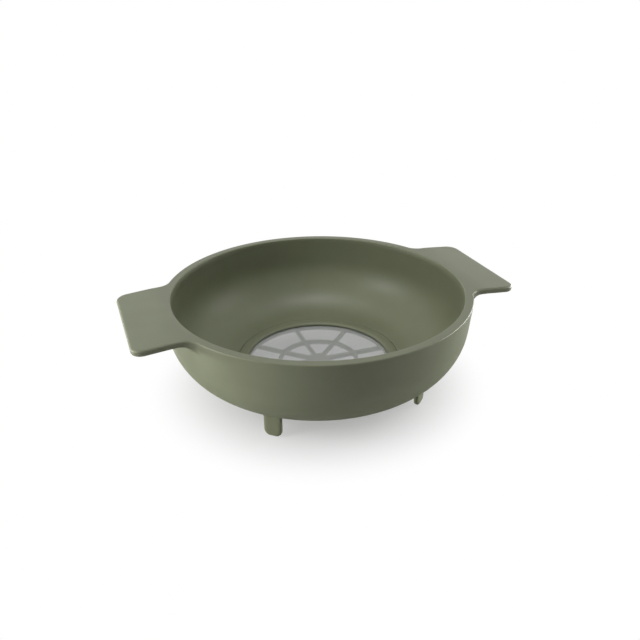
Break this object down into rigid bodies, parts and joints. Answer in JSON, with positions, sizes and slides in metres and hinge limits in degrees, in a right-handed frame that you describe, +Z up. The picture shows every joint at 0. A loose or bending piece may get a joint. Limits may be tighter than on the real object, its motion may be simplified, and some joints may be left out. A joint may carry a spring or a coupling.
{
  "type": "fine mesh sieve",
  "caption": "Round moulded bowl sieve with flat side handles, feet and a woven wire mesh floor that a snap-in ring holds, for rinsing and straining.",
  "frame": {"origin": "on the surface that the feet stand on, midway between the four feet", "axes": "+X from handle to handle, +Z up along the axis of the bowl"},
  "size_m": [0.274, 0.2198, 0.074],
  "materials": {
    "green_plastic": "satin sage green moulded plastic",
    "stainless_steel": "bright drawn wire and strip"
  },
  "bodies": {
    "root": {"bowl": "green_plastic", "mesh_warp_wires": "stainless_steel", "mesh_weft_wires": "stainless_steel", "mesh_binding": "stainless_steel", "retaining_ring": "green_plastic"}
  },
  "joints": []
}
